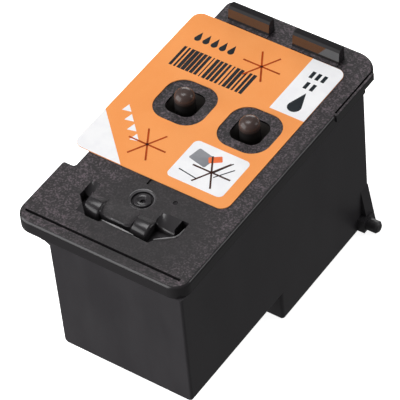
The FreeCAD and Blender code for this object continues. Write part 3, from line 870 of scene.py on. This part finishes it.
    def star_slits(self, name: str, stars: Sequence[Point], finish: PlainFinish) -> Object:
        """Builds stars of crossed slits with a Geometry Nodes tree.

        Args:
            name: The piece's name.
            stars: The middle of each star.
            finish: The finish of the slits.

        Returns:
            The finished piece.
        """
        low, high = self.layer(4)
        recipe = Recipe(name)
        long = recipe.size("Slit length", 2 * self.star_reach * MM)
        wide = recipe.size("Slit width", self.slit * MM)
        slit = recipe.box(long, wide, (high - low) * MM)
        number = recipe.node("GeometryNodeInputIndex").outputs[0]
        angle = recipe.math("MULTIPLY", number, math.pi / self.star_cuts)
        turns = recipe.row(self.star_cuts, (0.0, 0.0, 0.0))
        star = recipe.copies(turns, slit, Rotation=recipe.vector(0.0, 0.0, angle))
        height = (low + high) / 2 * MM
        placed = [recipe.node("GeometryNodeTransform", None,
                              {"Geometry": star, "Translation": (x * MM, y * MM, height)}).outputs[0]
                  for x, y in stars]
        return recipe.finish(recipe.joined(placed), finish, Slot.FILM)

    def star_holes(self) -> Object:
        """Builds the small dark opening at the middle of each star."""
        dots = [moved(arc(self.hole, 0, 360, self.hole_sides)[:-1], x, y) for x, y in self.stars]
        return plates("star_holes", dots, *self.layer(5), HOLE_BROWN)


# The jet face


@dataclass
class JetFace:
    """The nozzles in the plate under the nose and the copper lines of the circuit strip."""

    slot_pitch: float = 2.2
    row_offset: float = 0.22
    row_nozzles: int = 40
    row_length: float = 9.2
    nozzle_radius: float = 0.045
    nozzle_sides: int = 8
    nozzle_depth: float = 0.004
    nozzle_middle: float = 0.0021
    trace_count: int = 18
    trace_pitch: float = 1.0
    trace_width: float = 0.34
    trace_length: float = 5.2
    trace_depth: float = 0.02
    trace_middle: float = 4.2
    strip_face: float = 14.07

    def build(self) -> list[Object]:
        """Builds the nozzles and the copper lines."""
        return [self.nozzles(), self.traces()]

    def nozzles(self) -> Object:
        """Builds six rows of nozzle openings with a Geometry Nodes tree, as dark discs of painted shade.
        """
        recipe = Recipe("nozzle_rows")
        radius = recipe.size("Nozzle radius", self.nozzle_radius * MM)
        step = recipe.size("Nozzle pitch", self.row_length / (self.row_nozzles - 1) * MM)
        count = recipe.size("Nozzles in a row", self.row_nozzles, whole=True)
        sizes = {"Vertices": self.nozzle_sides, "Radius": radius, "Depth": self.nozzle_depth * MM}
        opening = recipe.node("GeometryNodeMeshCylinder", {"fill_type": "NGON"}, sizes).outputs["Mesh"]
        places = [slot * self.slot_pitch + side * self.row_offset
                  for slot in (-1, 0, 1) for side in (-1, 1)]
        rows = []
        for x in places:
            start = (x * MM, -self.row_length / 2 * MM, self.nozzle_middle * MM)
            rows.append(recipe.copies(recipe.row(count, recipe.vector(0.0, step), start), opening))
        return recipe.finish(recipe.joined(rows), NOZZLE_HOLE_SHADE, Slot.PLATE)

    def traces(self) -> Object:
        """Builds the copper lines that run down the strip with a Geometry Nodes tree."""
        recipe = Recipe("strip_traces")
        count = recipe.size("Count", self.trace_count, whole=True)
        pitch = recipe.size("Pitch", self.trace_pitch * MM)
        wide = recipe.size("Width", self.trace_width * MM)
        tall = recipe.size("Length", self.trace_length * MM)
        x = -self.trace_pitch * (self.trace_count - 1) / 2
        start = (x * MM, self.strip_face * MM, self.trace_middle * MM)
        line = recipe.box(wide, self.trace_depth * MM, tall)
        placed = recipe.copies(recipe.row(count, recipe.vector(pitch), start), line)
        return recipe.finish(placed, COPPER_LINES, Slot.GOLD)


# The catch and the gate mark


@dataclass(frozen=True)
class Saddle:
    """A ramp of the catch pocket that curls up against the walls beside it."""

    name: str
    left: float
    right: float
    left_cove: float
    right_cove: float
    rear: float
    reach: float
    drop: float
    bend: float

    def lift(self, x: float) -> float:
        """Returns how far the round coves raise the ramp at one place across it, from 0 to 1."""
        nears = [min(max(1 - away / radius, 0.0), 1.0)
                 for away, radius in ((x - self.left, self.left_cove), (self.right - x, self.right_cove))]
        return 1 - math.sqrt(1 - max(nears) ** 2)


@dataclass
class CatchDetail:
    """The catch's soft saddles and lug rolls, the pocket's rim beads in a painted-highlight grey and the
    gate mark's turned rings.
    """

    lid: Material
    top: float = 34.5
    floor: float = 2.18
    saddles: tuple[Saddle, ...] = (
        Saddle("catch_saddle", -9.3, -2.6, 3.0, 1.8, -30.2, 3.7, 1.1, 1.8),
        Saddle("right_wing_saddle", 0.4, 4.3, 2.6, 0.3, -28.9, 2.3, 1.4, 1.0),
        Saddle("left_wing_saddle", -14.1, -12.3, 1.3, 0.5, -28.9, 2.3, 1.4, 1.0),
    )
    saddle_columns: int = 40
    saddle_steps: int = 16
    saddle_skin: float = 0.01
    saddle_lip: tuple[Point, ...] = ((0.03, -0.02), (0.12, 0.07), (0.16, 0.22), (0.17, 0.45))
    lugs: tuple[tuple[str, float, float], ...] = (
        ("left_lug_roll", -12.3, -9.3), ("right_lug_roll", -2.6, 0.4))
    lug_front: float = -34.7
    lug_roll: float = 2.1
    lug_steps: int = 12
    lug_shoulder: tuple[Point, ...] = ((1.4, -0.1), (1.1, 0.15), (0.8, 0.5), (0.5, 0.85), (0.2, 1.0))
    lug_skin: float = 0.10
    lug_crown: float = 0.10
    lug_side: float = 0.22
    lug_edge: float = 0.5
    lug_ends: tuple[float, ...] = (0.0, 0.03, 0.08, 0.15, 0.25, 0.37)
    lug_columns: int = 10
    lug_root: float = 1.2
    bead_steps: int = 8
    bead_taper: float = 0.35
    bead_sink: float = 0.1
    saddle_edge: tuple[Point, ...] = ((-7.5, -35.62), (-5.2, -35.66), (-3.0, -35.70), (-0.9, -35.76))
    wing_edge: tuple[Point, ...] = (
        (2.5, -34.9), (4.1, -33.7), (5.3, -32.76), (5.66, -31.9), (5.66, -30.3))
    gate: Point = (-4.3, -28.3)
    gate_radius: float = 2.30
    gate_arc: tuple[float, float, int] = (75, 195, 10)
    gate_bead: float = 0.10
    chamfer: tuple[Point, ...] = ((1.96, -0.19), (2.22, -0.02), (2.34, 0.012))
    disc: tuple[Point, ...] = (
        (0.52, -0.45), (0.64, -0.15), (1.38, -0.10), (1.52, -0.15), (1.60, -0.32), (1.62, -0.52))
    ring_steps: int = 64

    def build(self) -> list[Object]:
        """Builds the saddles, the rolls, the rims and the rings.

        Returns:
            The pieces.
        """
        # The rim beads and the gate's chamfer take lighter greys as painted highlights.
        painted_glint, dim_highlight = RIM_HIGHLIGHT.make(), DIM_RIM_HIGHLIGHT.make()
        gate_edge = moved(arc(self.gate_radius, *self.gate_arc), *self.gate)
        return [
            *(self.saddle(form) for form in self.saddles),
            *(self.lug(*form) for form in self.lugs),
            self.bead("saddle_rim", self.saddle_edge, painted_glint),
            self.bead("wing_rim", self.wing_edge, painted_glint),
            self.bead("gate_rim", gate_edge, painted_glint, self.gate_bead),
            self.turned("gate_chamfer", self.chamfer, dim_highlight),
            self.turned("gate_disc", self.disc, self.lid),
        ]

    def saddle(self, form: Saddle) -> Object:
        """Builds one ramp beside the lugs, with its rolled lip and the drop to the pocket's floor.

        Args:
            form: The ramp's sizes.

        Returns:
            The finished piece.
        """
        end, bottom = form.rear - form.reach, self.top - self.floor
        shares = [step / self.saddle_steps for step in range(self.saddle_steps + 1)]
        rows = []
        for column in range(self.saddle_columns + 1):
            x = form.left + (form.right - form.left) * column / self.saddle_columns
            low = -form.drop * (1 - form.lift(x))
            row = [(x, form.rear - form.reach * share,
                    self.top + self.saddle_skin + low * share ** form.bend) for share in shares]
            row += [(x, end - out, max(self.top + low - down, bottom)) for out, down in self.saddle_lip]
            row.append((x, end - self.saddle_lip[-1][0], bottom))
            rows.append(row)
        return sheet(form.name, rows, self.lid)

    def lug_path(self) -> list[tuple[float, float, float, float, float]]:
        """Runs over a lug from its rear to the pocket's floor.

        Returns:
            Each place's y, its z from the lid's top, its outward y and z, and its share of the skin.
        """
        start = self.lug_front + self.lug_roll
        path = [(start + ahead, 0.0, 0.0, 1.0, grown) for ahead, grown in self.lug_shoulder]
        path += [(start - self.lug_roll * out, self.lug_roll * (rise - 1), -out, rise, 1.0)
                 for rise, out in arc(1.0, 0, 90, self.lug_steps)]
        return [*path, (self.lug_front, -self.floor, -1.0, 0.0, 1.0)]

    def lug(self, name: str, left: float, right: float) -> Object:
        """Builds the soft barrel that rolls over the front of one lug, crowned and round at its ends.

        Args:
            name: The piece's name.
            left: The lug's left side.
            right: The lug's right side.

        Returns:
            The finished piece.
        """
        low, high = left - self.lug_side, right + self.lug_side
        flat = high - low - 2 * self.lug_edge
        inner = [low + self.lug_edge + flat * step / self.lug_columns
                 for step in range(self.lug_columns + 1)]
        places = [low, *(low + away for away in self.lug_ends), *inner,
                  *(high - away for away in reversed(self.lug_ends)), high]
        path = self.lug_path()
        rows = []
        for turn, x in enumerate(places):
            near = self.lug_edge - min(x - low, high - x, self.lug_edge)
            fall = self.lug_edge - math.sqrt(self.lug_edge ** 2 - near ** 2)
            across = 2 * (x - low) / (high - low) - 1
            out = self.lug_skin + self.lug_crown * (1 - across ** 2) - fall
            if turn in (0, len(places) - 1):
                out = -self.lug_root
            rows.append([(x, y + away_y * out * grown, self.top + z + away_z * out * grown)
                         for y, z, away_y, away_z, grown in path])
        return sheet(name, rows, self.lid)

    def bead(self, name: str, path: Sequence[Point], finish: Material, rim: float = 0.16) -> Object:
        """Builds a fine half-round bead along a path, tapered at its ends.

        Args:
            name: The piece's name.
            path: The bead's middle line.
            finish: Its material.
            rim: Its radius.

        Returns:
            The finished piece.
        """
        half_round = arc(1.0, 0, 180, self.bead_steps)
        last = len(path) - 1
        rows = []
        for turn, (x, y) in enumerate(path):
            along = Vector(path[min(turn + 1, last)]) - Vector(path[max(turn - 1, 0)])
            out = Vector((-along.y, along.x)).normalized()
            size = rim * (self.bead_taper if turn in (0, last) else 1.0)
            rows.append([(x + out.x * size * side, y + out.y * size * side,
                          self.top + size * (rise - self.bead_sink)) for side, rise in half_round])
        return sheet(name, rows, finish)

    def turned(self, name: str, profile: Sequence[Point], finish: Material) -> Object:
        """Builds a ring by turning a profile about the gate mark's centre.

        Args:
            name: The piece's name.
            profile: The radius of each of its points and the height above the lid's top.
            finish: The ring's material.

        Returns:
            The finished piece.
        """
        x, y = self.gate
        turns = arc(1.0, 0, 360, self.ring_steps)[:-1]
        rows = [[(x + radius * across, y + radius * along, self.top + height)
                 for radius, height in profile] for across, along in turns]
        return sheet(name, rows, finish, ring=True)


# The moulded pieces


class Dressing:
    """The finish of each carried-over piece."""

    finishes: dict[str, Finish] = {
        "tank_body": TankPlastic(),
        "top_lid": LidPlastic(),
        "peel_label": PlainFinish("label_film", srgb(240, 157, 92), srgb(238, 152, 86), 0.26,
                                  drift_size=12.0, relief=0.002, ior=1.2),
        "guide_post": PostPlastic(),
        "inlet_seal": PlainFinish("seal_rubber", (0.012, 0.012, 0.013), (0.02, 0.02, 0.021), 0.7),
        "ink_foam": PlainFinish("foam_felt", (0.62, 0.58, 0.46), (0.48, 0.44, 0.34), 0.95,
                                grain=0.35, relief=0.15),
        "outlet_filter": WovenMesh(),
        "die_adhesive": PlainFinish("die_bond", (0.12, 0.11, 0.10), (0.09, 0.085, 0.08), 0.6),
        "silicon_die": PlainFinish("silicon", (0.09, 0.10, 0.12), (0.11, 0.12, 0.14), 0.15, metallic=0.6),
        "nozzle_plate": PlainFinish("nozzle_film", (0.30, 0.17, 0.05), (0.34, 0.20, 0.07), 0.22, coat=0.3),
        "flex_circuit": PlainFinish("circuit_film", (0.34, 0.13, 0.02), (0.40, 0.16, 0.03), 0.32),
        "contact_pads": PlainFinish("gold_pads", (0.90, 0.64, 0.26), (0.84, 0.58, 0.23), 0.26,
                                    metallic=0.72),
        "encapsulant": PlainFinish("resin", (0.008, 0.008, 0.008), (0.012, 0.012, 0.012), 0.12, coat=0.4),
    }

    def dress(self, nodes: dict[str, Object]) -> dict[str, Material]:
        """Gives each carried-over piece its finish.

        Args:
            nodes: The carried-over pieces by name.

        Returns:
            The materials by the stem of the pieces' names.
        """
        made = {stem: finish.make() for stem, finish in self.finishes.items()}
        for name, piece in nodes.items():
            stem = next(stem for stem in made if name.startswith(stem))
            piece.data.materials.clear()
            piece.data.materials.append(made[stem])
            log.info("dressed %s as %s", name, made[stem].name)
        return made


# The studio


@dataclass(frozen=True)
class Lamp:
    """A soft square light with its place and side in metres and its power in watts."""

    name: str
    place: Place
    side: float
    power: float


@dataclass
class Studio:
    """The floor, the soft lights and the camera, with places and sizes in metres."""

    floor_size: float = 6.0
    floor_glow: float = 0.9
    sky_strength: float = 0.15
    lamps: tuple[Lamp, ...] = (
        Lamp("top_light", (-0.18, 0.05, 0.80), 0.42, 3.5),
        Lamp("front_light", (-0.50, -0.62, 0.22), 0.95, 11.0),
        Lamp("back_light", (-0.45, 0.80, 0.22), 0.50, 2.5),
        Lamp("side_light", (0.60, 0.45, 0.33), 0.30, 1.0),
    )
    lamp_aim: Place = (0.0, -0.01, 0.02)
    camera_place: Place = (0.21620, -0.29358, 0.39372)
    right: Place = (0.8265, 0.5588, -0.0678)
    up: Place = (-0.3671, 0.6264, 0.6876)
    lens: float = 267.81
    sensor: float = 36.0

    def build(self) -> None:
        """Builds the floor, the lights and the camera."""
        self.floor()
        self.sky()
        for lamp in self.lamps:
            self.light(lamp)
        self.camera()

    def floor(self) -> None:
        """Builds the plain pale floor."""
        half = self.floor_size / 2
        corners = [(-half, -half, 0), (half, -half, 0), (half, half, 0), (-half, half, 0)]
        mesh = bpy.data.meshes.new("floor")
        mesh.from_pydata(corners, [], [(0, 1, 2, 3)])
        piece = bpy.data.objects.new("floor", mesh)
        bpy.context.collection.objects.link(piece)
        graph = Graph("floor_paper")
        mesh.materials.append(graph.dress(
            Base_Color=(0.9, 0.9, 0.9), Roughness=0.9, Specular_IOR_Level=0.0,
            Emission_Color=(1.0, 1.0, 1.0), Emission_Strength=self.floor_glow))
        piece.visible_glossy = False
        piece.visible_diffuse = False

    def sky(self) -> None:
        """Fills the room with even pale light."""
        world = bpy.data.worlds.new("studio")
        world.use_nodes = True
        inputs = world.node_tree.nodes["Background"].inputs
        inputs["Color"].default_value = (1.0, 1.0, 1.0, 1.0)
        inputs["Strength"].default_value = self.sky_strength
        bpy.context.scene.world = world
        bpy.context.scene.view_settings.view_transform = "Standard"

    def light(self, lamp: Lamp) -> None:
        """Builds one soft light that faces the object.

        Args:
            lamp: The light's name, place, side and power.
        """
        glow = bpy.data.lights.new(lamp.name, "AREA")
        glow.size = lamp.side
        glow.energy = lamp.power
        stand = bpy.data.objects.new(lamp.name, glow)
        stand.location = lamp.place
        way = Vector(self.lamp_aim) - Vector(lamp.place)
        stand.rotation_euler = way.to_track_quat("-Z", "Y").to_euler()
        bpy.context.collection.objects.link(stand)

    def camera(self) -> None:
        """Builds the camera at the photograph's viewpoint."""
        right, up = Vector(self.right).normalized(), Vector(self.up)
        back = right.cross(up).normalized()
        up = back.cross(right)
        eye = bpy.data.cameras.new("camera")
        eye.lens = self.lens
        eye.sensor_width = self.sensor
        stand = bpy.data.objects.new("camera", eye)
        turn = Matrix((right, up, back)).transposed().to_4x4()
        stand.matrix_world = Matrix.Translation(Vector(self.camera_place)) @ turn
        bpy.context.collection.objects.link(stand)
        bpy.context.scene.camera = stand


def main() -> None:
    """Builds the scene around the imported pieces."""
    logging.basicConfig(level=logging.INFO, format="%(name)s: %(message)s")
    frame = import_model()
    Studio().build()
    finishes = Dressing().dress(frame["nodes"])
    for piece in (*LabelPrint().build(), *JetFace().build(), *CatchDetail(finishes["top_lid"]).build()):
        log.info("built %s with %d faces", piece.name, len(piece.data.polygons))


if __name__ == "__main__":
    main()
